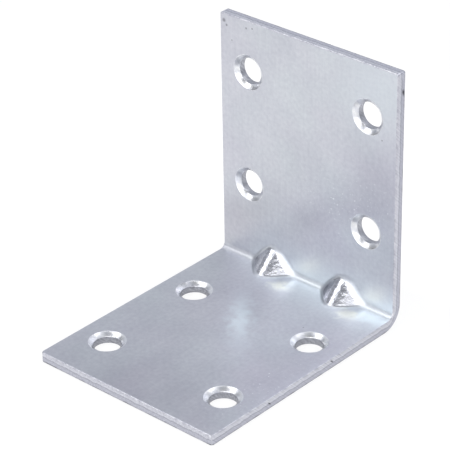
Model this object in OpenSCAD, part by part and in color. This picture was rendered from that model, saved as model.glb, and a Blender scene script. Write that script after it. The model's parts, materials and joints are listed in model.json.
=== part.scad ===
// Corner brace bracket: one strip of zinc-plated steel sheet, folded to a right angle.
// Four countersunk screw holes are punched in each leg, and two gussets are pressed
// into the fold from outside, so that it can't open under load.
//
// The frame: X runs across the strip, the lower leg points to -Y and lies on Z = 0,
// and the upright stands at the +Y end. The origin is the middle of the footprint.

/* [Sheet] */
// Width of the strip, across the legs
strip_w = 40; // [36:1:60]
// Length of the lower leg, from its free edge to the back of the upright
leg_l = 50; // [44:1:80]
// Height of the upright, from the underside to its top edge
upright_h = 50; // [44:1:80]
// Thickness of the sheet
sheet_t = 2; // [1.5:0.1:2.5]
// Inside radius of the fold
fold_in_r = 1.2; // [0.6:0.1:2.5]
// Outside radius of the fold, where the stretched metal has thinned
fold_out_r = 4.2; // [3:0.1:5]
// Break on the sheared edges
edge_break = 0.2; // [0.1:0.05:0.5]

/* [Screw holes] */
// Bore of a screw hole
hole_d = 5; // [3:0.1:6]
// Mouth of the countersink, on the inside face
sink_d = 6.8; // [6.2:0.1:7.6]
// Full angle of the countersink
sink_angle = 106; // [82:1:112]
// Distance between the two holes of a row
hole_pitch = 27.2; // [18:0.1:28]
// Distance between the two rows of a leg
row_pitch = 22.6; // [12:0.1:23]
// From a leg's free edge to its outer row of holes
row_margin = 10; // [6:0.1:11]

/* [Pressed gussets] */
// Distance between the middles of the two gussets
gusset_pitch = 16.4; // [12:0.1:24]
// Width of a gusset where it rises out of the fold
gusset_w = 9.6; // [7:0.1:11]
// From the inside corner to the end of a gusset's crest, along either leg
gusset_reach = 4.2; // [3.2:0.1:5.5]
// Radius of a gusset's crest
crest_r = 2; // [1:0.1:2.4]
// Metal left between a gusset and the dent behind it
gusset_wall = 1.7; // [1.2:0.1:1.9]
// Radius at the bottom of the dent
dent_r = 0.5; // [0.3:0.1:0.8]

/* [Hidden] */
$fn = 64;

// How far a cutting shape runs past the face that it cuts
past = 1;

// The four planes of the two legs' faces
back_y = leg_l / 2;
front_y = back_y - leg_l;
inner_y = back_y - sheet_t;
inner_z = sheet_t;

// The countersink goes this deep
sink_depth = (sink_d - hole_d) / 2 / tan(sink_angle / 2);

// The nose of a gusset or dent bulges this much past its flanks, and so meets them cleanly
nose_lap = 0.02;

// The rows of holes, measured from each leg's free edge
leg_rows = [front_y + row_margin, front_y + row_margin + row_pitch];
upright_rows = [upright_h - row_margin, upright_h - row_margin - row_pitch];

// A gusset's section, square to its crest: the crest's height over the inside corner,
// the slope of its flanks, and the flanks' distance from that corner
crest_h = gusset_reach / sqrt(2);
nose_h = crest_h - crest_r;
nose_far = norm([gusset_w / 2, nose_h]);
flank_angle = atan2(nose_h, gusset_w / 2) + asin((crest_r - nose_lap) / nose_far);
flank_d = gusset_w / 2 * sin(flank_angle);

// The dent's section starts below the outside of the fold
dent_base = -2 * sheet_t;

bracket();

module bracket() {
    color("#c3c7d2")
    difference() {
        union() {
            folded_strip();
            for (side = [-1, 1])
                gusset_ridge(side * gusset_pitch / 2);
        }
        for (side = [-1, 1])
            gusset_dent(side * gusset_pitch / 2);
        screw_holes();
        edge_breaks();
    }
}

// The strip with its fold: the side view of both legs, as wide as the strip
module folded_strip() {
    across(strip_w)
    difference() {
        heel_outline();
        corner_outline();
    }
}

// Everything inside the outer faces, with the heel rounded
module heel_outline() {
    translate([front_y, 0])
        square([leg_l - fold_out_r, upright_h]);
    translate([front_y, fold_out_r])
        square([leg_l, upright_h - fold_out_r]);
    translate([back_y - fold_out_r, fold_out_r])
        circle(fold_out_r);
}

// The space between the legs, with the inside corner rounded
module corner_outline() {
    open = leg_l + upright_h;
    translate([inner_y - fold_in_r - open, inner_z])
        square(open);
    translate([inner_y - open, inner_z + fold_in_r])
        square(open);
    translate([inner_y - fold_in_r, inner_z + fold_in_r])
        circle(fold_in_r);
}

// A side view drawn in Y and Z, extruded across the strip
module across(width) {
    rotate([90, 0, 90])
        linear_extrude(width, center = true)
            children();
}

// The ridge that a gusset makes between the legs. It ends inside the sheet.
module gusset_ridge(x) {
    reach = leg_l + upright_h;
    intersection() {
        along_crest(x)
            rounded_wedge(flank_d, crest_r, 0);
        translate([x - gusset_w, inner_y + sheet_t / 2 - reach, inner_z - sheet_t / 2])
            cube([2 * gusset_w, reach, reach]);
    }
}

// The dent behind a gusset, with flanks parallel to the ridge's
module gusset_dent(x) {
    along_crest(x)
        rounded_wedge(flank_d - gusset_wall, dent_r, dent_base);
}

// A section with its origin in the inside corner, extruded along the 45 degree crest
module along_crest(x) {
    translate([x, inner_y, inner_z])
        rotate([135, 0, 0])
            linear_extrude(4 * (crest_h + sheet_t), center = true)
                children();
}

// Two flanks at a distance d from the origin, with a nose of radius r, down to a base
module rounded_wedge(d, r, base) {
    flank_r = r - nose_lap;
    nose_y = (d - flank_r) / cos(flank_angle);
    base_x = (d - base * cos(flank_angle)) / sin(flank_angle);
    touch = [flank_r * sin(flank_angle), nose_y + flank_r * cos(flank_angle)];
    polygon([[-base_x, base], [base_x, base], touch, [-touch.x, touch.y]]);
    translate([0, nose_y])
        circle(r);
}

// All eight holes, each sunk from the inside face of its leg
module screw_holes() {
    for (side = [-1, 1]) {
        for (y = leg_rows)
            translate([side * hole_pitch / 2, y, inner_z])
                screw_hole();
        for (z = upright_rows)
            translate([side * hole_pitch / 2, inner_y, z])
                rotate([90, 0, 0])
                    screw_hole();
    }
}

// One hole down through the sheet from Z = 0
module screw_hole() {
    mouth_h = sink_depth + past;
    translate([0, 0, -sheet_t - past])
        cylinder(d = hole_d, h = sheet_t + 2 * past);
    translate([0, 0, -sink_depth])
        cylinder(d1 = hole_d, d2 = hole_d + 2 * mouth_h * tan(sink_angle / 2), h = mouth_h);
}

// Every sheared edge is broken: along both sides of the strip and at its two ends
module edge_breaks() {
    for (side = [-1, 1])
        translate([side * strip_w / 2, 0, 0]) {
            break_along_fold(0, fold_out_r);
            break_along_fold(sheet_t, fold_in_r);
        }
    for (z = [0, inner_z])
        break_across(front_y, z);
    for (y = [back_y, inner_y])
        break_across(y, upright_h);
}

// The break along one side, on the faces that lie a depth under the outer ones
module break_along_fold(depth, fold_r) {
    bend_y = back_y - depth - fold_r;
    bend_z = depth + fold_r;
    translate([0, front_y - past, depth])
        rotate([-90, 0, 0])
            linear_extrude(bend_y - front_y + past)
                break_section();
    translate([0, bend_y, bend_z])
        rotate([0, 90, 0])
            rotate_extrude(angle = 90)
                translate([fold_r, 0])
                    break_section();
    translate([0, back_y - depth, bend_z])
        linear_extrude(upright_h - bend_z + past)
            break_section();
}

// The break across one end of the strip
module break_across(y, z) {
    translate([0, y, z])
        rotate([0, 90, 0])
            linear_extrude(strip_w + 2 * past, center = true)
                break_section();
}

// A square on its corner: it takes edge_break off each of the two faces at an edge
module break_section() {
    rotate(45)
        square(edge_break * sqrt(2), center = true);
}
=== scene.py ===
# %% [markdown]
# # A folded corner brace in zinc-plated steel
#
# The object is one strip of steel sheet. A press blanks it, punches and sinks its eight
# screw holes, folds it to a right angle and pushes two gussets into the fold from outside.
# Then it is plated with zinc. This lesson starts from the folded strip, which is easiest
# to draw, and then makes the holes and the gussets. After them comes a material for each
# kind of surface that the press leaves (rolled sheet, sheared edge, countersink and bore),
# and then the studio round it.
#
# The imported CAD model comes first, as a fixed frame. Nothing in it is moved. It gives the
# size of the strip and the pattern of the holes, and the finished mesh then stands for it.

# %% Load the frame
import json
import math

import bmesh
import bpy
from mathutils import Matrix, Vector


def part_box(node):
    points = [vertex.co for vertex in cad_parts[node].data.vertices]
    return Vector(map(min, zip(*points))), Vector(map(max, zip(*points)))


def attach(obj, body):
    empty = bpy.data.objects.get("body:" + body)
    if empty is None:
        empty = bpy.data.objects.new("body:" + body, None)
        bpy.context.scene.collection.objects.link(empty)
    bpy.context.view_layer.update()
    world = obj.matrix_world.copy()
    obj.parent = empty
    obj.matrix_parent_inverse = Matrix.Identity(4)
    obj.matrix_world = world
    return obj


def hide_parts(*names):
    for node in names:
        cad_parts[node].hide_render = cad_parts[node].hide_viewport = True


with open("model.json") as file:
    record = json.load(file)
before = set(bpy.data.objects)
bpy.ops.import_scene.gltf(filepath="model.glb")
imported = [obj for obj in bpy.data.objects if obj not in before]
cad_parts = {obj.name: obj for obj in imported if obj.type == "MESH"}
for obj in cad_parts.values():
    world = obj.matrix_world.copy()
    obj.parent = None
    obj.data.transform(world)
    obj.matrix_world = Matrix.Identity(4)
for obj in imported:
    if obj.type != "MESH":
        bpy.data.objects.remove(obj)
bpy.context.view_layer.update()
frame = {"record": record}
low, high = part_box("bracket")
print("CAD box of the bracket, in metres:", tuple(low), tuple(high))

# %% [markdown]
# ## Sizes
#
# Blender works in metres and a press works in millimetres, so one small function turns
# one into the other. The legs' length and the strip's width are read from the frame, and
# the hole pattern from the record's bolt patterns. The rest are the sizes of the sheet,
# the fold and the gussets, which the frame doesn't list.

# %% Sizes of the strip
MM_PER_M = 1000


def mm(value):
    """Millimetres to metres."""
    return value / MM_PER_M


STRIP_HALF = high.x
FRONT_Y, BACK_Y = low.y, high.y
TOP_Z = high.z
SHEET = mm(2.0)
INNER_Y = BACK_Y - SHEET
INNER_Z = SHEET

FOLD_IN_R = mm(1.2)
FOLD_OUT_R = mm(4.2)
EDGE_BREAK = mm(0.18)

mounts = {mount["name"]: mount for mount in frame["record"]["mounts"]}


def hole_centres(name):
    """The four hole centres of a rectangular bolt pattern, in metres."""
    mount = mounts[name]
    middle = Vector(mount["pos_m"])
    across = mm(mount["dims"]["spacing_x_mm"]) / 2
    along = mm(mount["dims"]["spacing_y_mm"]) / 2
    step = Vector((0, along, 0)) if name == "base_holes" else Vector((0, 0, along))
    return [middle + Vector((i * across, 0, 0)) + j * step for i in (-1, 1) for j in (-1, 1)]


BORE_R = mm(mounts["base_holes"]["dims"]["hole_r_mm"])
print("bore radius", BORE_R, "holes", len(hole_centres("base_holes")) + len(hole_centres("back_holes")))

# %% [markdown]
# ## The camera
#
# The view is set before anything is modelled, so that each step can be compared with the
# photograph. It is a long lens from the front right, 29 degrees above the floor, with the
# small tilt of a hand-held shot. Focal length is given in pixels of a 450 pixel frame.

# %% Camera
IMAGE_PX = 450
FOCAL_PX = 2383.0
SENSOR_WIDTH = 36.0
VIEW_AZIMUTH, VIEW_ELEVATION, VIEW_ROLL = (math.radians(a) for a in (42.205, 29.47, -1.03))
VIEW_DISTANCE = mm(409.0)
VIEW_TARGET = Vector((mm(0.12), mm(1.10), mm(23.35)))


def make_camera():
    """A camera that looks at VIEW_TARGET from the given azimuth, elevation and roll."""
    az, el, roll = VIEW_AZIMUTH, VIEW_ELEVATION, VIEW_ROLL
    back = Vector((math.sin(az) * math.cos(el), -math.cos(az) * math.cos(el), math.sin(el)))
    level = Vector((math.cos(az), math.sin(az), 0))
    rise = back.cross(level)
    right = math.cos(roll) * level + math.sin(roll) * rise
    up = math.cos(roll) * rise - math.sin(roll) * level
    data = bpy.data.cameras.new("camera")
    data.sensor_width = SENSOR_WIDTH
    data.sensor_fit = "HORIZONTAL"
    data.lens = FOCAL_PX / IMAGE_PX * SENSOR_WIDTH
    camera = bpy.data.objects.new("camera", data)
    bpy.context.scene.collection.objects.link(camera)
    turn = Matrix((right, up, back)).transposed().to_4x4()
    camera.matrix_world = Matrix.Translation(VIEW_TARGET + back * VIEW_DISTANCE) @ turn
    bpy.context.scene.camera = camera
    return camera


camera = make_camera()
print("camera at", tuple(camera.matrix_world.translation), "lens", camera.data.lens)

# %% [markdown]
# ## Small helpers for edit mode
#
# An operator acts on whatever is selected, and the frame's nodes are still selected after
# loading. So each step first clears the selection, then selects faces or edges by their
# place or direction, and only then calls the operator.

# %% Selection helpers
def deselect_all():
    """Leave edit mode and select nothing."""
    if bpy.context.object and bpy.context.object.mode != "OBJECT":
        bpy.ops.object.mode_set(mode="OBJECT")
    bpy.ops.object.select_all(action="DESELECT")


def work_on(obj):
    """Select only this object and enter edit mode with nothing selected inside."""
    deselect_all()
    bpy.context.view_layer.objects.active = obj
    obj.select_set(True)
    bpy.ops.object.mode_set(mode="EDIT")
    bpy.ops.mesh.select_all(action="DESELECT")


def pick(obj, kind, test):
    """In edit mode, select the verts, edges or faces that pass a test, and count them."""
    bpy.ops.mesh.select_mode(type={"verts": "VERT", "edges": "EDGE", "faces": "FACE"}[kind])
    bpy.ops.mesh.select_all(action="DESELECT")
    mesh = bmesh.from_edit_mesh(obj.data)
    found = [item for item in getattr(mesh, kind) if test(item)]
    for item in found:
        item.select_set(True)
    mesh.select_flush_mode()
    bmesh.update_edit_mesh(obj.data)
    return len(found)


# How close lengths must be, and how close to 1 a cosine, to count as the same
NEAR = mm(0.01)
STRAIGHT = 0.99
# A face that looks aside at all has more than this of X in its normal
SIDEWAYS = 0.05


def near(a, b):
    """Two lengths that are the same but for rounding."""
    return abs(a - b) < NEAR


def parallel(a, b):
    """Two directions that are the same or opposite, but for rounding."""
    return abs(a.dot(b)) > STRAIGHT


def faces_sideways(face):
    """A face that looks to the left or right, if only a little."""
    return abs(face.normal.x) > SIDEWAYS


ACROSS, ALONG, UP = Vector((1, 0, 0)), Vector((0, 1, 0)), Vector((0, 0, 1))

# %% [markdown]
# ## The side view
#
# The fold is easiest to draw from the side. A plane becomes the lower leg's side view, its
# heel is extruded up into the upright, and the two corners of the fold are bevelled as
# vertices, which makes true arcs. The outside radius is larger than the inside radius plus
# the sheet, because the metal stretches and thins where it is bent.

# %% Draw the side view
HEEL_STEPS = 24
CORNER_STEPS = 9


def draw_side_view():
    """The bracket's outline seen from the side, as one flat face at the strip's left side."""
    deselect_all()
    middle = Vector((-STRIP_HALF, (FRONT_Y + BACK_Y) / 2, SHEET / 2))
    bpy.ops.mesh.primitive_plane_add(size=1, location=middle, rotation=(0, math.pi / 2, 0))
    strip = bpy.context.object
    strip.name = "folded_strip"
    strip.scale = (SHEET, BACK_Y - FRONT_Y, 1)
    bpy.ops.object.transform_apply(location=True, rotation=True, scale=True)
    work_on(strip)
    bpy.ops.mesh.select_all(action="SELECT")
    bpy.ops.mesh.bisect(plane_co=(0, INNER_Y, 0), plane_no=(0, 1, 0))
    pick(strip, "edges", lambda e: all(near(v.co.z, SHEET) and v.co.y > INNER_Y - NEAR for v in e.verts))
    bpy.ops.mesh.extrude_region_move(TRANSFORM_OT_translate={"value": (0, 0, TOP_Z - SHEET)})
    bpy.ops.mesh.select_all(action="SELECT")
    bpy.ops.mesh.dissolve_limited(angle_limit=math.radians(1))
    corners = (
        (BACK_Y, 0, FOLD_OUT_R, HEEL_STEPS),
        (INNER_Y, INNER_Z, FOLD_IN_R, CORNER_STEPS),
    )
    for y, z, radius, steps in corners:
        pick(strip, "verts", lambda v: near(v.co.y, y) and near(v.co.z, z))
        bpy.ops.mesh.bevel(offset=radius, offset_type="OFFSET", segments=steps, affect="VERTICES")
    bpy.ops.object.mode_set(mode="OBJECT")
    return strip


strip = draw_side_view()
print("side view:", len(strip.data.vertices), "vertices,", len(strip.data.polygons), "face")

# %% [markdown]
# ## The strip
#
# The side view is extruded across the strip's width. The die rounds the corners at the
# lower leg's end and leaves the upright's nearly sharp, and the tumbling barrel takes the
# burr off every sheared edge. So the corners are bevelled first, and then all the edges
# that run round the two wide faces.

# %% Extrude the strip and break its edges
FRONT_CORNER, TOP_CORNER = mm(0.6), mm(0.35)
ROUND_STEPS, BREAK_STEPS = 5, 3


def rim_face(face):
    """A face that the shear cut, and not one of the sheet's two wide faces."""
    centre = face.calc_center_median()
    at_end = centre.y < FRONT_Y + TOP_CORNER / 2 or centre.z > TOP_Z - TOP_CORNER / 2
    return at_end or faces_sideways(face)


def corner_edge(edge, axis, place):
    """An edge through the sheet's thickness, at a corner of one end of the strip."""
    a, b = (vertex.co for vertex in edge.verts)
    return near(a[axis], place) and near(b[axis], place) and near(a.x, b.x)


def extrude_strip(strip):
    """Give the side view the strip's width, and round what the shear left sharp."""
    work_on(strip)
    bpy.ops.mesh.select_all(action="SELECT")
    bpy.ops.mesh.extrude_region_move(TRANSFORM_OT_translate={"value": (2 * STRIP_HALF, 0, 0)})
    bpy.ops.mesh.select_all(action="SELECT")
    bpy.ops.mesh.normals_make_consistent(inside=False)

    corners = 0
    for axis, place, radius in ((1, FRONT_Y, FRONT_CORNER), (2, TOP_Z, TOP_CORNER)):
        corners += pick(strip, "edges", lambda e: corner_edge(e, axis, place))
        bpy.ops.mesh.bevel(offset=radius, offset_type="OFFSET", segments=ROUND_STEPS, affect="EDGES")
    edges = pick(strip, "edges", lambda e: sum(rim_face(f) for f in e.link_faces) == 1)
    bpy.ops.mesh.bevel(offset=EDGE_BREAK, offset_type="OFFSET", segments=BREAK_STEPS, affect="EDGES")
    bpy.ops.object.mode_set(mode="OBJECT")
    return corners, edges


print("corners rounded and edges broken:", extrude_strip(strip))

# %% [markdown]
# ## The screw holes
#
# Each hole is a bore with a shallow countersink, sunk from between the legs. The cutter
# is a cylinder whose top is extruded ring by ring: the cone, the small roll at its mouth
# and a straight end that clears the sheet. One cutter is modelled and copied to all eight
# places, and a boolean takes them out of the strip. This comes before the gussets, because
# a boolean would open the seams of the fine grid that they need.

# %% Model the hole cutter
SINK_R = mm(3.4)
SINK_HALF_ANGLE = math.radians(53)
SINK_DEPTH = (SINK_R - BORE_R) / math.tan(SINK_HALF_ANGLE)
HOLE_SIDES = 96
# The small roll at a hole's rims, and how far its cutter runs past the sheet
LIP, PAST = mm(0.05), mm(0.5)


def make_cutter():
    """A hole's cutter, standing on Z, with the sheet's inside face at Z = 0."""
    deselect_all()
    start = -SHEET - PAST
    rings = [
        (-SHEET - LIP / 2, BORE_R + LIP),
        (-SHEET + LIP, BORE_R),
        (-SINK_DEPTH - LIP, BORE_R),
        (-SINK_DEPTH + LIP, BORE_R + LIP),
        (-LIP, SINK_R - LIP * 1.2),
        (LIP / 2, SINK_R + LIP),
        (PAST, SINK_R + LIP),
    ]
    z, radius = rings[0]
    bpy.ops.mesh.primitive_cylinder_add(
        vertices=HOLE_SIDES, radius=radius, depth=z - start, location=(0, 0, (start + z) / 2)
    )
    cutter = bpy.context.object
    cutter.name = "hole_cutter"
    bpy.ops.object.transform_apply(location=True, rotation=True, scale=True)
    work_on(cutter)
    pick(cutter, "faces", lambda f: f.normal.z > STRAIGHT)
    for next_z, next_r in rings[1:]:
        bpy.ops.mesh.extrude_region_move(TRANSFORM_OT_translate={"value": (0, 0, next_z - z)})
        grow = next_r / radius
        bpy.ops.transform.resize(value=(grow, grow, 1), center_override=(0, 0, next_z))
        z, radius = next_z, next_r
    bpy.ops.object.mode_set(mode="OBJECT")
    return cutter


def place_cutters(cutter):
    """A copy of the cutter at every hole, joined into one object."""
    copies = []
    down_into_back = Matrix.Rotation(math.radians(90), 4, "X")
    for centre in hole_centres("base_holes"):
        copies.append(Matrix.Translation((centre.x, centre.y, INNER_Z)))
    for centre in hole_centres("back_holes"):
        copies.append(Matrix.Translation((centre.x, INNER_Y, centre.z)) @ down_into_back)
    deselect_all()
    for place in copies:
        copy = cutter.copy()
        copy.data = cutter.data.copy()
        bpy.context.scene.collection.objects.link(copy)
        copy.data.transform(place)
        copy.select_set(True)
        bpy.context.view_layer.objects.active = copy
    bpy.ops.object.join()
    bpy.data.objects.remove(cutter)
    return bpy.context.object


cutters = place_cutters(make_cutter())
print("cutters joined:", len(cutters.data.polygons), "faces")

# %% Punch the holes
def punch_holes(strip, cutters):
    """Take the cutters out of the strip."""
    deselect_all()
    bpy.context.view_layer.objects.active = strip
    strip.select_set(True)
    hole = strip.modifiers.new("holes", "BOOLEAN")
    hole.object = cutters
    hole.operation = "DIFFERENCE"
    hole.solver = "EXACT"
    bpy.ops.object.modifier_apply(modifier=hole.name)
    bpy.data.objects.remove(cutters)
    return len(strip.data.polygons)


print("faces after punching:", punch_holes(strip, cutters))

# %% [markdown]
# ## The gussets
#
# A wedge-shaped punch pushes the fold in from outside at two places. Each leaves a ridge
# at 45 degrees between the legs and a dent behind it. The metal is first cut into a fine
# grid where it will move, and only there, so that the flat faces stay single faces.

# %% Cut a fine grid where the punches strike
GUSSET_X = mm(16.4 / 2)
GUSSET_OFF = mm(0.3)
GUSSET_REACH = mm(4.2)
GUSSET_WALL = mm(1.7)

PATCH_HALF = mm(7.0)
PATCH_REACH = mm(9.0)
GRID = mm(0.2)


def in_fold(point):
    """Is this point of the strip near enough to the fold to be moved by a punch?"""
    return point.y > INNER_Y - PATCH_REACH - NEAR and point.z < INNER_Z + PATCH_REACH + NEAR


def under_punch(point):
    """Is this point of the strip inside one of the two punches' patches?"""
    return in_fold(point) and abs(abs(point.x) - GUSSET_X) < PATCH_HALF + NEAR


def wide_face(face):
    """A face of the sheet's two big surfaces, and not of its edges."""
    return not faces_sideways(face) and abs(face.calc_center_median().x) < STRIP_HALF - EDGE_BREAK


def cut_grid(strip):
    """Cut the fold's surfaces into a grid in the two patches that the punches will move."""
    work_on(strip)
    pick(strip, "faces", lambda f: wide_face(f) and parallel(f.normal, UP))
    bpy.ops.mesh.bisect(plane_co=(0, INNER_Y - PATCH_REACH, 0), plane_no=(0, 1, 0))
    pick(strip, "faces", lambda f: wide_face(f) and parallel(f.normal, ALONG))
    bpy.ops.mesh.bisect(plane_co=(0, 0, INNER_Z + PATCH_REACH), plane_no=(0, 0, 1))
    for side in (-1, 1):
        for end in (-1, 1):
            x = side * GUSSET_X + end * PATCH_HALF
            pick(strip, "faces", lambda f: wide_face(f) and in_fold(f.calc_center_median()))
            bpy.ops.mesh.bisect(plane_co=(x, 0, 0), plane_no=(1, 0, 0))

    def patch_edge(edge, direction):
        a, b = edge.verts
        return under_punch(a.co) and under_punch(b.co) and parallel((b.co - a.co).normalized(), direction)

    pick(strip, "edges", lambda e: patch_edge(e, ACROSS) and e.calc_length() > PATCH_HALF)
    bpy.ops.mesh.subdivide(number_cuts=round(2 * PATCH_HALF / GRID) - 1)
    for leg in (ALONG, UP):
        pick(strip, "edges", lambda e: patch_edge(e, leg) and e.calc_length() > PATCH_REACH / 2)
        bpy.ops.mesh.subdivide(number_cuts=round(PATCH_REACH / GRID) - 1)
    bpy.ops.object.mode_set(mode="OBJECT")
    return len(strip.data.polygons)


print("faces after cutting the grid:", cut_grid(strip))

# %% [markdown]
# ## Pressing
#
# Seen along its crest, a gusset is a wedge with a wide, round nose. Each point of the grid
# is moved along the line that halves the angle of the fold, up to the height of that wedge
# and no further. A smooth maximum blends the wedge into the sheet, with the radius that
# steel keeps when it is drawn over a punch. The outside gets the same wedge less the wall,
# with a narrower nose. The punches stood a little to the right, and dragged the upright's
# metal along on that side, so the fillet is wider there.

# %% Press the gussets
PUNCH_LINE = Vector((0, -1, 1)).normalized()
CREST_H = GUSSET_REACH / math.sqrt(2)
FLANK_SLOPE = 0.88
NOSE_HALF = mm(1.9)
DENT_HALF = mm(0.6)
BLEND_IN = mm(0.5)
BLEND_SKEW = mm(0.85)
BLEND_OUT = mm(1.4)
LEAST_MOVE = 1e-9


def wedge_height(across, crest_h, nose_half):
    """Height of a round-nosed wedge over the inside corner, at a distance across from its crest."""
    return crest_h + FLANK_SLOPE * (nose_half - math.hypot(across, nose_half))


def smooth_max(a, b, width):
    """The larger of two heights, with a fillet where they are less than width apart."""
    lap = max(width - abs(a - b), 0) / width
    return max(a, b) + lap * lap * width / 4


def fillet_width(across, from_corner):
    """The inside fillet, wider where the skewed punch has dragged the upright's metal along."""
    towards_upright = 0.5 + (from_corner.y + from_corner.z) / from_corner.length / 2
    dragged = min(1.0, max(0.0, across / NOSE_HALF))
    return BLEND_IN + BLEND_SKEW * towards_upright * dragged


def press_gussets(strip):
    """Move the grid's points to where the two punches leave them."""
    moved = 0
    corner = Vector((0, INNER_Y, INNER_Z))
    for vertex in strip.data.vertices:
        if not under_punch(vertex.co):
            continue
        middle = GUSSET_OFF + math.copysign(GUSSET_X, vertex.co.x)
        across = vertex.co.x - middle
        from_corner = vertex.co - corner
        from_corner.x = 0
        height = from_corner.dot(PUNCH_LINE)
        outside = vertex.co.y > INNER_Y + SHEET / 4 or vertex.co.z < INNER_Z - SHEET / 4
        if outside:
            target = smooth_max(height, wedge_height(across, CREST_H - GUSSET_WALL, DENT_HALF), BLEND_OUT)
        else:
            wedge = wedge_height(across, CREST_H, NOSE_HALF)
            target = smooth_max(height, wedge, fillet_width(across, from_corner))
        if target - height > LEAST_MOVE:
            vertex.co += PUNCH_LINE * (target - height)
            moved += 1
    return moved


print("grid points pressed:", press_gussets(strip))

# %% [markdown]
# ## Smooth shading
#
# The fold, the gussets and the broken edges are curved, and the two legs are dead flat.
# Shading by angle keeps the holes' lower rims sharp, and weighted normals let the large
# flat faces keep their own direction right up to the small bevels.

# %% Shade
SMOOTH_BELOW = math.radians(40)


def shade(strip):
    """Smooth the curves and keep the flats flat."""
    deselect_all()
    bpy.context.view_layer.objects.active = strip
    strip.select_set(True)
    bpy.ops.object.shade_smooth_by_angle(angle=SMOOTH_BELOW)
    weigh = strip.modifiers.new("weighted", "WEIGHTED_NORMAL")
    weigh.keep_sharp = True
    weigh.mode = "FACE_AREA"
    bpy.ops.object.modifier_apply(modifier=weigh.name)


shade(strip)
print("triangles:", sum(len(p.vertices) - 2 for p in strip.data.polygons))

# %% [markdown]
# ## What the materials need to know
#
# A sheared edge changes through the thickness of the sheet, and drawn metal is brighter
# than the rest. Both follow the surface and not a straight axis, so they are worked out
# for each vertex and kept on the mesh as attributes.

# %% Write the attributes
DRAWN_FULLY = mm(0.5)


def through_sheet(point):
    """0 at the inside face of the sheet and 1 at its outside face, also round the fold."""
    centre_y, centre_z = INNER_Y - FOLD_IN_R, INNER_Z + FOLD_IN_R
    if point.y > centre_y and point.z < centre_z:
        return (math.hypot(point.y - centre_y, point.z - centre_z) - FOLD_IN_R) / SHEET
    return max(point.y - INNER_Y, INNER_Z - point.z) / SHEET


def drawn(point):
    """How far a punch has drawn the metal out of the inside face, from 0 to 1."""
    raised = -through_sheet(point) * SHEET
    return min(1.0, max(0.0, raised / DRAWN_FULLY)) if under_punch(point) else 0.0


def write_attributes(strip):
    """Two values for each vertex that the materials read by name."""
    depth = strip.data.attributes.new("through_sheet", "FLOAT", "POINT")
    draw = strip.data.attributes.new("drawn", "FLOAT", "POINT")
    for index, vertex in enumerate(strip.data.vertices):
        depth.data[index].value = through_sheet(vertex.co)
        draw.data[index].value = drawn(vertex.co)
    return sum(item.value > 0.5 for item in draw.data)


print("vertices in drawn metal:", write_attributes(strip))

# %% [markdown]
# ## Materials
#
# Colours are written as they are read off a swatch, in sRGB, and turned to linear once.
# Noise is given in cycles per millimetre of the real part. The patterns run along the
# strip and turn with it at the fold, so their coordinates are x and the distance along the
# strip, which is y + z on both legs.

# %% Material helpers
def linear(hex_colour):
    """An sRGB hex colour as the linear RGBA that a shader takes."""
    parts = [int(hex_colour[i : i + 2], 16) / 255 for i in (1, 3, 5)]
    return [c / 12.92 if c <= 0.04045 else ((c + 0.055) / 1.055) ** 2.4 for c in parts] + [1.0]


def empty_tree(owner):
    """The node tree of a material or world, with nothing in it."""
    owner.use_nodes = True
    owner.node_tree.nodes.clear()
    return owner.node_tree


def add(tree, kind, settings=None, inputs=None):
    """Add a node with its settings. Each input is given a value or a socket to link it to."""
    node = tree.nodes.new(kind)
    for name, value in (settings or {}).items():
        setattr(node, name, value)
    for name, value in (inputs or {}).items():
        if isinstance(value, bpy.types.NodeSocket):
            tree.links.new(value, node.inputs[name])
        else:
            node.inputs[name].default_value = value
    return node


def math_node(tree, operation, a, b=None, clamp=False):
    """One step of arithmetic on numbers."""
    inputs = {0: a} if b is None else {0: a, 1: b}
    return add(tree, "ShaderNodeMath", {"operation": operation, "use_clamp": clamp}, inputs).outputs[0]


def vector_node(tree, operation, a, b=None):
    """One step of arithmetic on vectors. A length, a distance or a dot product is a number."""
    inputs = {0: a} if b is None else {0: a, 1: b}
    node = add(tree, "ShaderNodeVectorMath", {"operation": operation}, inputs)
    return node.outputs["Value" if operation in ("LENGTH", "DISTANCE", "DOT_PRODUCT") else "Vector"]


def object_place(tree):
    """Where a point is on its object, in metres."""
    return add(tree, "ShaderNodeTexCoord").outputs["Object"]


def split(tree, vector):
    """The X, Y and Z of a vector."""
    return add(tree, "ShaderNodeSeparateXYZ", inputs={"Vector": vector}).outputs


def join(tree, x, y):
    """A vector from its X and Y."""
    return add(tree, "ShaderNodeCombineXYZ", inputs={"X": x, "Y": y}).outputs["Vector"]


def kept_on_mesh(tree, name):
    """A value that was written on the mesh as an attribute."""
    return add(tree, "ShaderNodeAttribute", {"attribute_name": name}).outputs["Fac"]


def new_material(name):
    """A metal with nothing but its Principled shader, and strip coordinates in millimetres."""
    material = bpy.data.materials.new(name)
    tree = empty_tree(material)
    shader = add(tree, "ShaderNodeBsdfPrincipled", inputs={"Metallic": 1.0})
    add(tree, "ShaderNodeOutputMaterial", inputs={"Surface": shader.outputs["BSDF"]})
    inputs = {"Vector": object_place(tree), "Scale": (MM_PER_M,) * 3}
    x, y, z = split(tree, add(tree, "ShaderNodeMapping", inputs=inputs).outputs["Vector"])
    return material, tree, shader, join(tree, x, math_node(tree, "ADD", y, z))


def combine(tree, operation, values, clamp=False):
    """Join several sockets or numbers by one operation, from the first to the last."""
    total, *others = values
    for value in others:
        total = math_node(tree, operation, total, value, clamp)
    return total


def noise(tree, place, scale, detail=2.0, stretch=(1, 1, 1), shift=0.0):
    """Noise about a mean of 0.5, in cycles per millimetre, drawn out and shifted along the axes."""
    mapped = {"Vector": place, "Scale": stretch, "Location": (shift, shift, 0)}
    moved = add(tree, "ShaderNodeMapping", inputs=mapped).outputs["Vector"]
    inputs = {"Vector": moved, "Scale": scale, "Detail": detail}
    return add(tree, "ShaderNodeTexNoise", inputs=inputs).outputs[0]


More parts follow.
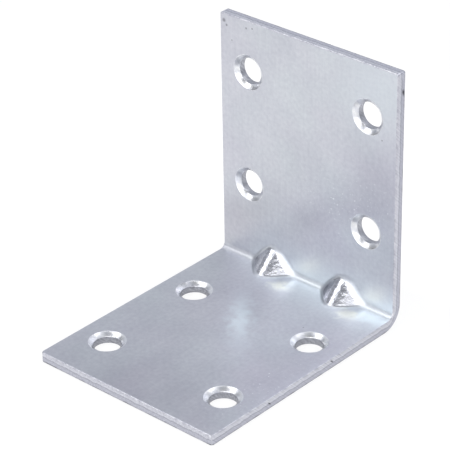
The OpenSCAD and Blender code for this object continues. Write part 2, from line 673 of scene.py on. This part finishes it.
def ramp(tree, value, low, high, to_low=0.0, to_high=1.0, bend="LINEAR"):
    """Carry a value from one range to another, and hold it there."""
    inputs = {"Value": value, "From Min": low, "From Max": high, "To Min": to_low, "To Max": to_high}
    return add(tree, "ShaderNodeMapRange", {"interpolation_type": bend}, inputs).outputs["Result"]


# The parts of a noise's range that are spread over two values: a narrow one gives firmer edges
NARROW, USUAL, WIDE = (0.35, 0.65), (0.3, 0.7), (0.25, 0.75)


def spread(tree, pattern, to_low=0.0, to_high=1.0, part=USUAL):
    """Spread the middle part of a noise's range over two values."""
    return ramp(tree, pattern, *part, to_low, to_high)


def mix_colours(tree, factor, a, b, blend="MIX"):
    """Mix two colours, given as hex values or as sockets."""
    a, b = (linear(colour) if isinstance(colour, str) else colour for colour in (a, b))
    settings = {"data_type": "RGBA", "blend_type": blend}
    return add(tree, "ShaderNodeMix", settings, {"Factor": factor, "A": a, "B": b}).outputs["Result"]


def toned(tree, body, pattern, tone):
    """Darken a colour where a noise is low, by multiplying it with a pale tone."""
    tint = mix_colours(tree, spread(tree, pattern), tone, "#ffffff")
    return mix_colours(tree, 1.0, body, tint, "MULTIPLY")


def relief(tree, shader, layers):
    """Bump from several heights, each with its depth in millimetres."""
    below = {}
    for height, depth in layers:
        node = add(tree, "ShaderNodeBump", inputs={"Height": height, "Distance": mm(depth), **below})
        below = {"Normal": node.outputs["Normal"]}
    tree.links.new(below["Normal"], shader.inputs["Normal"])


def report(material):
    """Print how many nodes a material has."""
    print(material.name, "has", len(material.node_tree.nodes), "nodes")


# %% [markdown]
# ## Zinc on the rolled sheet
#
# Bright zinc with a thin bluish passivation isn't one grey. It clouds into lavender and
# pale cyan over some 8 mm, has a fine crystal grain under a millimetre, and still shows
# the rolling lines of the sheet. The sheet is not quite flat either, which bends what it
# reflects. Where the dies have drawn it, on the gussets, it is a little brighter and
# smoother, and in the crease of the fold it is dull. Light and shade are also painted into
# the colour: painted reflections by the fold and in soft spots, painted highlights at the
# gussets' right feet, and painted shade on their left flanks and in other soft spots. A
# few pits and specks are left from the bath.

# %% Zinc on the rolled sheet
PITS = (
    # place across the strip and along it (y + z), and radius, in millimetres
    (-19.1, 71.6, 0.32),
    (-18.5, 70.8, 0.2),
    (-13.9, 71.5, 0.17),
    (-12.5, 71.8, 0.15),
    (-17.3, 68.2, 0.12),
    (16.8, 59.5, 0.13),
    (9.7, 12.6, 0.12),
)

# A soft spot: its middle (across, along), the direction of its long axis, its half length
# and half width, all in millimetres, and its strength
# Painted reflections: soft lighter spots on the leg and the upright
PAINTED_REFLECTION_SPOTS = (
    ((-0.8, 7.8), (0.62, -0.78), 10.5, 2.8, 1.0),
    ((16.0, 69.0), (1.0, 0.0), 12.0, 12.0, 0.3),
    ((17.0, 22.6), (1.0, 0.0), 6.0, 2.4, 0.7),
)
# Painted highlights: warm near-white spots at the gussets' right feet, where the sheet is also a little
# smoother
GLINT_SPOTS = (
    ((-2.9, 20.7), (1.0, 0.0), 2.3, 1.9, 1.2),
    ((12.6, 21.0), (1.0, 0.0), 2.5, 1.9, 1.2),
)
# Painted shade: soft darker spots on the leg and the upright
PAINTED_SHADE_SPOTS = (
    ((15.5, 0.0), (0.0, 1.0), 18.0, 11.0, 0.62),
    ((2.0, -22.0), (1.0, 0.0), 28.0, 13.0, 0.45),
    ((16.0, 48.0), (0.0, 1.0), 12.0, 9.0, 0.35),
    ((-16.0, 34.0), (1.0, 0.3), 13.0, 6.0, 0.45),
)
SPECKLED = (
    ((10.0, 44.0), (1.0, 0.3), 15.0, 8.0, 1.0),
    ((16.5, -8.0), (0.0, 1.0), 16.0, 4.0, 0.8),
)
SPOT_DRIFT = 0.9

# Painted shade on the left flank of each gusset: where it begins and is full, across the strip in
# millimetres, and its strength at the two places
RIGHT_FLANK_SHADE = (7.4, 5.4, 0.0, 0.8)
LEFT_FLANK_SHADE = (-9.2, -11.0, 0.0, 0.42)
# The peaks of a noise that show as specks
SPECK_PEAKS = (0.73, 0.79)


def pit_mask(tree, place):
    """1 in the pits and 0 round them."""
    pits = []
    for across, along, radius in PITS:
        away = vector_node(tree, "DISTANCE", place, (across, along, 0))
        pits.append(ramp(tree, away, radius * 1.5, radius * 0.6))
    return combine(tree, "MAXIMUM", pits)


def painted_flank_shade(tree, place):
    """Painted shade on the gussets' left flanks, stronger on the right gusset."""
    x = split(tree, place)["X"]
    right_half = ramp(tree, x, 0.0, 1.0)
    right = math_node(tree, "MULTIPLY", ramp(tree, x, *RIGHT_FLANK_SHADE), right_half)
    return math_node(tree, "MAXIMUM", ramp(tree, x, *LEFT_FLANK_SHADE), right)


def soft_spots(tree, place, spots):
    """Long clouds with soft, uneven edges at given places on the strip, added up."""
    drift = spread(tree, noise(tree, place, 0.5, 4.0, shift=61.0), -SPOT_DRIFT, SPOT_DRIFT, WIDE)
    place = vector_node(tree, "ADD", place, join(tree, drift, drift))
    clouds = []
    for (x, along), (dx, dy), long, wide, strength in spots:
        offset = vector_node(tree, "SUBTRACT", place, (x, along, 0))
        squares = []
        for axis in ((dx / long, dy / long, 0), (-dy / wide, dx / wide, 0)):
            part = vector_node(tree, "DOT_PRODUCT", offset, axis)
            squares.append(math_node(tree, "MULTIPLY", part, part))
        falls = math_node(tree, "MULTIPLY", math_node(tree, "ADD", *squares), -2.0)
        clouds.append(math_node(tree, "MULTIPLY", math_node(tree, "EXPONENT", falls), strength))
    return combine(tree, "ADD", clouds, clamp=True)


def distance_from_fold(tree):
    """How far the inside face is from its corner, as (INNER_Y - y) + (z - INNER_Z), in millimetres."""
    x, y, z = split(tree, object_place(tree))
    rise = math_node(tree, "SUBTRACT", z, y)
    return math_node(tree, "MULTIPLY", math_node(tree, "ADD", rise, INNER_Y - INNER_Z), MM_PER_M)


def painted_reflection(tree, place, from_fold):
    """Painted reflections: the sheet is lighter by the fold and in a few soft spots."""
    inboard = ramp(tree, split(tree, place)["X"], -15.0, -5.0)
    fold_reflection = math_node(tree, "MULTIPLY", ramp(tree, from_fold, 8.0, 1.5, 0.0, 0.4), inboard)
    return math_node(tree, "ADD", fold_reflection, soft_spots(tree, place, PAINTED_REFLECTION_SPOTS), clamp=True)


def zinc_sheet():
    """Bright zinc on rolled steel sheet: clouds, grain, rolling lines, drawn gussets, dull crease,
    painted light and shade.
    """
    material, tree, shader, place = new_material("zinc_plated_sheet")
    worked = kept_on_mesh(tree, "drawn")
    depth = kept_on_mesh(tree, "through_sheet")
    from_fold = distance_from_fold(tree)
    crease = ramp(tree, from_fold, 1.5, 1.0)
    glint_mask = soft_spots(tree, place, GLINT_SPOTS)
    pits = math_node(tree, "MULTIPLY", pit_mask(tree, place), ramp(tree, depth, 0.5, 0.3))

    clouds = noise(tree, place, 0.11, 3.0)
    tint = noise(tree, place, 0.07, 2.0, shift=41.0)
    grain = noise(tree, place, 1.3, 3.0, shift=7.0)
    fine = noise(tree, place, 4.5, 2.0, shift=3.0)
    lines = noise(tree, place, 1.0, 3.0, stretch=(2.2, 0.05, 1), shift=19.0)

    body = mix_colours(tree, spread(tree, tint, part=NARROW), "#dcdde3", "#dbdfe3")
    for pattern, tone in ((clouds, "#f3f3f5"), (grain, "#f2f2f4"), (lines, "#fafafb")):
        body = toned(tree, body, pattern, tone)
    # Painted reflections, lighter by the fold and in soft spots
    body = mix_colours(tree, painted_reflection(tree, place, from_fold), body, "#ebf4f9")
    body = mix_colours(tree, worked, body, "#dfe1e9")
    # Painted shade: the gussets' left flanks are darkened
    left_flank_shade = math_node(tree, "MULTIPLY", worked, painted_flank_shade(tree, place))
    body = mix_colours(tree, left_flank_shade, body, "#6f6d78")
    # Painted shade in soft spots
    body = mix_colours(tree, soft_spots(tree, place, PAINTED_SHADE_SPOTS), body, "#dedadf", "MULTIPLY")
    # Painted highlight at the gussets' right feet
    body = mix_colours(tree, glint_mask, body, "#fdfff6")
    specks = ramp(tree, noise(tree, place, 2.3, 0.0, shift=71.0), *SPECK_PEAKS)
    specks = math_node(tree, "MULTIPLY", specks, soft_spots(tree, place, SPECKLED))
    body = mix_colours(tree, specks, body, "#f6f8fa")
    body = mix_colours(tree, math_node(tree, "MULTIPLY", pits, 0.5), body, "#5c5a5e")
    tree.links.new(body, shader.inputs["Base Color"])

    rough = [
        spread(tree, clouds, 0.31, 0.36),
        spread(tree, grain, -0.025, 0.025),
        spread(tree, lines, -0.02, 0.02),
    ]
    for mask, change in ((worked, -0.09), (glint_mask, -0.02), (crease, 0.1), (pits, 0.3)):
        rough.append(math_node(tree, "MULTIPLY", mask, change))
    tree.links.new(combine(tree, "ADD", rough), shader.inputs["Roughness"])

    wave = noise(tree, place, 0.08, 1.0, shift=11.0)
    creased = noise(tree, place, 1.7, 2.0, stretch=(1, 0.6, 1), shift=13.0)
    wrinkles = math_node(tree, "MULTIPLY", creased, worked)
    relief(tree, shader, ((wave, 0.06), (wrinkles, 0.075), (grain, 0.006), (fine, 0.003), (lines, 0.002)))
    return material


sheet_zinc = zinc_sheet()
report(sheet_zinc)

# %% [markdown]
# ## Zinc on the sheared edge
#
# A shear leaves two bands round the blank. The blade first cuts a smooth band, and then
# the metal tears and leaves a rougher, darker one. The line between them wanders. Both
# carry fine score marks through the sheet's thickness. The edges of the upright get
# painted shade.

# %% Zinc on the sheared edge
NICKS = (
    # on the right edge: place along the strip in millimetres, part of the way through the
    # sheet, and length in millimetres
    (70.6, 0.76, 1.5),
    (7.4, 0.3, 0.5),
    (-9.4, 0.45, 0.5),
)

# Where each band begins and is full, from 0 at the sheet's inside face to 1 at its outside
ARRIS = (0.3, 0.05)
TORN_BAND = (0.42, 0.5)
LINE_BEGINS, LINE_ENDS = (0.38, 0.46), (0.58, 0.48)
OUTER_RIM = (0.84, 1.0)
# The same along the strip in millimetres, for the upright's side, whose edges get painted shade
UPRIGHT_BEGINS, UPRIGHT_ENDS = (26.0, 32.0), (72.9, 72.6)
BAND_DRIFT = 0.09


def nicks(tree, place, depth):
    """A few small dark nicks in the right edge."""
    marks = []
    for along, part, length in NICKS:
        away = vector_node(tree, "DISTANCE", place, (STRIP_HALF * MM_PER_M, along, 0))
        aside = math_node(tree, "ABSOLUTE", math_node(tree, "SUBTRACT", depth, part))
        within = ramp(tree, away, length / 2, length / 8)
        marks.append(math_node(tree, "MULTIPLY", within, ramp(tree, aside, 0.2, 0.05)))
    return combine(tree, "MAXIMUM", marks)


def zinc_edge():
    """Zinc on the sheared edge: a bright arris, a burnished band, a line, the torn band, and painted
    shade on the upright's edges.
    """
    material, tree, shader, place = new_material("zinc_plated_sheared_edge")
    wander = noise(tree, place, 0.55, 3.0)
    drift = spread(tree, wander, -BAND_DRIFT, BAND_DRIFT, WIDE)
    depth = math_node(tree, "ADD", kept_on_mesh(tree, "through_sheet"), drift)
    scores = noise(tree, place, 3.2, 3.0, shift=5.0)

    torn = ramp(tree, depth, *TORN_BAND)
    body = mix_colours(tree, torn, "#eaebf1", "#dadbe3")
    line = math_node(tree, "MULTIPLY", ramp(tree, depth, *LINE_BEGINS), ramp(tree, depth, *LINE_ENDS))
    body = mix_colours(tree, math_node(tree, "MULTIPLY", line, 0.4), body, "#8d8e99")
    body = mix_colours(tree, ramp(tree, depth, *OUTER_RIM, 0.0, 0.85), body, "#74747c")
    worn = noise(tree, place, 1.1, 4.0, stretch=(1, 0.6, 1), shift=53.0)
    arris = mix_colours(tree, spread(tree, worn), "#c6c7d0", "#f6f6f9")
    body = mix_colours(tree, ramp(tree, depth, *ARRIS), body, arris)
    body = toned(tree, body, scores, "#dedee4")
    # Painted shade: the upright's edges are darkened
    along = split(tree, place)["Y"]
    begun, ended = ramp(tree, along, *UPRIGHT_BEGINS), ramp(tree, along, *UPRIGHT_ENDS)
    upright = math_node(tree, "MULTIPLY", begun, ended)
    body = mix_colours(tree, upright, body, "#f4f4f5", "MULTIPLY")
    body = mix_colours(tree, nicks(tree, place, depth), body, "#4a4a52")
    tree.links.new(body, shader.inputs["Base Color"])

    rough = ramp(tree, torn, 0.0, 1.0, 0.34, 0.48)
    rough = math_node(tree, "ADD", rough, spread(tree, scores, -0.04, 0.04))
    tree.links.new(rough, shader.inputs["Roughness"])
    relief(tree, shader, ((scores, 0.02), (wander, 0.04), (worn, 0.02)))
    return material


edge_zinc = zinc_edge()
report(edge_zinc)

# %% [markdown]
# ## Zinc in the holes
#
# The countersink is pressed by a polished punch, so its zinc is the brightest on the part,
# with faint streaks where the punch has dragged. Below it the bore is torn and takes little
# zinc, and its darker grey is also painted shade for the shaded table that it mirrors.

# %% Zinc in the holes
def zinc_countersink():
    """Zinc on the pressed countersink: bright, with faint streaks and dents."""
    material, tree, shader, place = new_material("zinc_plated_countersink")
    streaks = noise(tree, place, 0.9, 3.0, shift=23.0)
    body = mix_colours(tree, spread(tree, streaks, part=NARROW), "#dfe1e8", "#f9fafb")
    tree.links.new(body, shader.inputs["Base Color"])
    tree.links.new(spread(tree, streaks, 0.37, 0.26), shader.inputs["Roughness"])
    relief(tree, shader, ((streaks, 0.045), (noise(tree, place, 3.5, 2.0), 0.014)))
    return material


def zinc_bore():
    """Thin zinc on the torn wall of a punched bore, painted a darker grey that is partly painted shade.
    """
    material, tree, shader, place = new_material("zinc_plated_bore")
    torn = noise(tree, place, 2.4, 3.0, shift=31.0)
    # The darker grey is partly painted shade: the bore mirrors the table in the hole's shadow
    body = mix_colours(tree, spread(tree, torn), "#a3a4ac", "#c6c8cf")
    tree.links.new(body, shader.inputs["Base Color"])
    tree.links.new(spread(tree, torn, 0.5, 0.38), shader.inputs["Roughness"])
    relief(tree, shader, ((torn, 0.03),))
    return material


sink_zinc, bore_zinc = zinc_countersink(), zinc_bore()
report(sink_zinc)
report(bore_zinc)

# %% [markdown]
# ## Which face gets which finish
#
# The faces are sorted by where they are: within a hole, on a sheared edge, or on the wide
# faces of the sheet.

# %% Give each face its finish
SHEET_FINISH, EDGE_FINISH, SINK_FINISH, BORE_FINISH = range(4)
# A face of a hole with more than this of the hole's direction in its normal is sloped
SLOPED = 0.3


def finish_of(face, holes):
    """The finish of one face of the strip, from its place and direction."""
    centre, normal = face.center, face.normal
    for axis, middle in holes:
        offset = centre - middle
        offset -= axis * offset.dot(axis)
        if offset.length < SINK_R + LIP and not parallel(normal, axis):
            return SINK_FINISH if abs(normal.dot(axis)) > SLOPED else BORE_FINISH
    at_side = abs(centre.x) > STRIP_HALF - EDGE_BREAK
    at_end = centre.y < FRONT_Y + EDGE_BREAK or centre.z > TOP_Z - EDGE_BREAK
    return EDGE_FINISH if at_side or at_end else SHEET_FINISH


def finish_strip(strip):
    """Assign the four finishes and count the faces of each."""
    strip.data.materials.clear()
    for material in (sheet_zinc, edge_zinc, sink_zinc, bore_zinc):
        strip.data.materials.append(material)
    holes = [(UP, c) for c in hole_centres("base_holes")]
    holes += [(ALONG, c) for c in hole_centres("back_holes")]
    counts = [0, 0, 0, 0]
    for face in strip.data.polygons:
        face.material_index = finish_of(face, holes)
        counts[face.material_index] += 1
    return counts


print("faces of sheet, edge, countersink and bore:", finish_strip(strip))

# %% Hand the strip to the frame
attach(strip, "root")
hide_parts("bracket")
print("the strip stands for the bracket and rides on its body")

# %% [markdown]
# ## The studio
#
# Bare metal shows what stands round it, so the studio is built as a photographer would: a
# white table, a pale room that is darker to the left and high in front, and seven soft
# lamps. The camera sees plain white behind the bracket. The table glows a little, as a
# painted pool of light that is less far away, with painted shade close beside the bracket.

# %% The table and the room
TABLE_SIZE = 4.0
TABLE_GAP = mm(0.02)
TABLE_LIGHT, TABLE_FAR = 1.17, 0.43
TABLE_FALL = (mm(90), mm(300))
TABLE_SHADE, SHADE_REACH = 0.75, mm(16)
TABLE_SEEN = 1.06
GLOW_SEEN, GLOW_MIRRORED = 0.82, 0.45


def beside_leg(tree, place):
    """How far a point of the table is from the lower leg's outline, in metres."""
    sides = split(tree, place)
    gaps = []
    for axis, half in (("X", STRIP_HALF), ("Y", BACK_Y)):
        outside = math_node(tree, "SUBTRACT", math_node(tree, "ABSOLUTE", sides[axis]), half)
        gaps.append(math_node(tree, "MAXIMUM", outside, 0.0))
    return vector_node(tree, "LENGTH", join(tree, *gaps))


def make_floor():
    """A pale floor that keeps the object's shadow and reads as white around it."""
    deselect_all()
    bpy.ops.mesh.primitive_plane_add(size=TABLE_SIZE, location=(0, 0, -TABLE_GAP))
    floor = bpy.context.object
    floor.name = "floor"
    bpy.ops.object.transform_apply(location=True, rotation=True, scale=True)
    material = bpy.data.materials.new("white_table")
    tree = empty_tree(material)
    path = add(tree, "ShaderNodeLightPath").outputs
    seen = math_node(tree, "MULTIPLY", path["Is Camera Ray"], GLOW_SEEN)
    mirrored = math_node(tree, "MULTIPLY", path["Is Glossy Ray"], GLOW_MIRRORED)
    share = math_node(tree, "ADD", seen, mirrored, clamp=True)
    place = object_place(tree)
    away = vector_node(tree, "LENGTH", place)
    # Painted light and shade on the table: its glow is brighter near the bracket and painted darker right
    # beside the lower leg
    fall = ramp(tree, away, *TABLE_FALL, TABLE_LIGHT, TABLE_FAR)
    painted_table_shade = ramp(tree, beside_leg(tree, place), 0.0, SHADE_REACH, TABLE_SHADE, 1.0)
    white = math_node(tree, "MULTIPLY", path["Is Camera Ray"], TABLE_SEEN)
    level = math_node(tree, "MAXIMUM", math_node(tree, "MULTIPLY", fall, painted_table_shade), white)
    matte = add(tree, "ShaderNodeBsdfDiffuse", inputs={"Color": linear("#f4f4f4")})
    glow = add(tree, "ShaderNodeEmission", inputs={"Strength": level})
    mix = add(tree, "ShaderNodeMixShader", inputs={0: share, 1: matte.outputs[0], 2: glow.outputs[0]})
    add(tree, "ShaderNodeOutputMaterial", inputs={"Surface": mix.outputs[0]})
    floor.data.materials.append(material)


ROOM_LIGHT = 0.72
SHADES = (
    # direction of a darker part of the room, where it begins and is fullest, and its level
    ((-0.92, -0.25, -0.30), 0.85, 0.97, 0.4),
    ((-0.585, -0.645, 0.492), 0.88, 0.98, 0.8),
    ((0.30, -0.50, 0.80), 0.86, 0.96, 0.35),
    ((-0.88, -0.40, 0.25), 0.90, 0.98, 0.4),
)


def make_world():
    """White for the camera, and a room with four darker parts for all that it lights."""
    world = bpy.data.worlds.new("studio")
    bpy.context.scene.world = world
    tree = empty_tree(world)
    look = add(tree, "ShaderNodeTexCoord").outputs["Generated"]
    levels = [ROOM_LIGHT]
    for direction, begins, full, depth in SHADES:
        towards = vector_node(tree, "DOT_PRODUCT", look, Vector(direction).normalized())
        levels.append(ramp(tree, towards, begins, full, 1.0, depth, "SMOOTHSTEP"))
    seen = add(tree, "ShaderNodeLightPath").outputs["Is Camera Ray"]
    strength = math_node(tree, "MAXIMUM", combine(tree, "MULTIPLY", levels), seen)
    colour = mix_colours(tree, seen, "#f4f7ff", "#ffffff")
    back = add(tree, "ShaderNodeBackground", inputs={"Color": colour, "Strength": strength})
    add(tree, "ShaderNodeOutputWorld", inputs={"Surface": back.outputs[0]})


make_floor()
make_world()
print("table and room made, with", len(SHADES), "darker parts of the room")

# %% The lamps
LAMP_DISTANCE = mm(600)
LAMP_COLOUR = (1.0, 0.985, 0.96)
LAMPS = {
    # name: direction from the bracket, width and height of the softbox, and how bright its face is
    "main": ((-0.46, -0.53, 0.715), mm(290), mm(290), 2.1),
    "back": ((0.35, 0.45, 0.82), mm(300), mm(300), 1.4),
    "overhead": ((-0.04, 0.14, 0.985), mm(240), mm(240), 1.3),
    "high left": ((-0.585, 0.115, 0.80), mm(90), mm(90), 2.5),
    "high front": ((-0.15, -0.35, 0.925), mm(130), mm(130), 1.9),
    "front": ((0.22, -0.90, 0.32), mm(700), mm(410), 1.65),
    "right": ((0.66, -0.52, 0.54), mm(240), mm(240), 0.8),
}


def make_lamp(name, direction, width, height, level):
    """A softbox whose face has a given brightness, aimed at the bracket."""
    data = bpy.data.lights.new(name, "AREA")
    data.shape = "RECTANGLE"
    data.size, data.size_y = width, height
    data.energy = level * math.pi * width * height
    data.color = LAMP_COLOUR
    lamp = bpy.data.objects.new(name, data)
    bpy.context.scene.collection.objects.link(lamp)
    away = Vector(direction).normalized()
    lamp.location = Vector((0, 0, TOP_Z / 2)) + away * LAMP_DISTANCE
    lamp.rotation_euler = away.to_track_quat("Z", "Y").to_euler()


for name, (direction, width, height, level) in LAMPS.items():
    make_lamp(name, direction, width, height, level)
bpy.context.scene.view_settings.view_transform = "Standard"
print("lamps:", ", ".join(LAMPS))
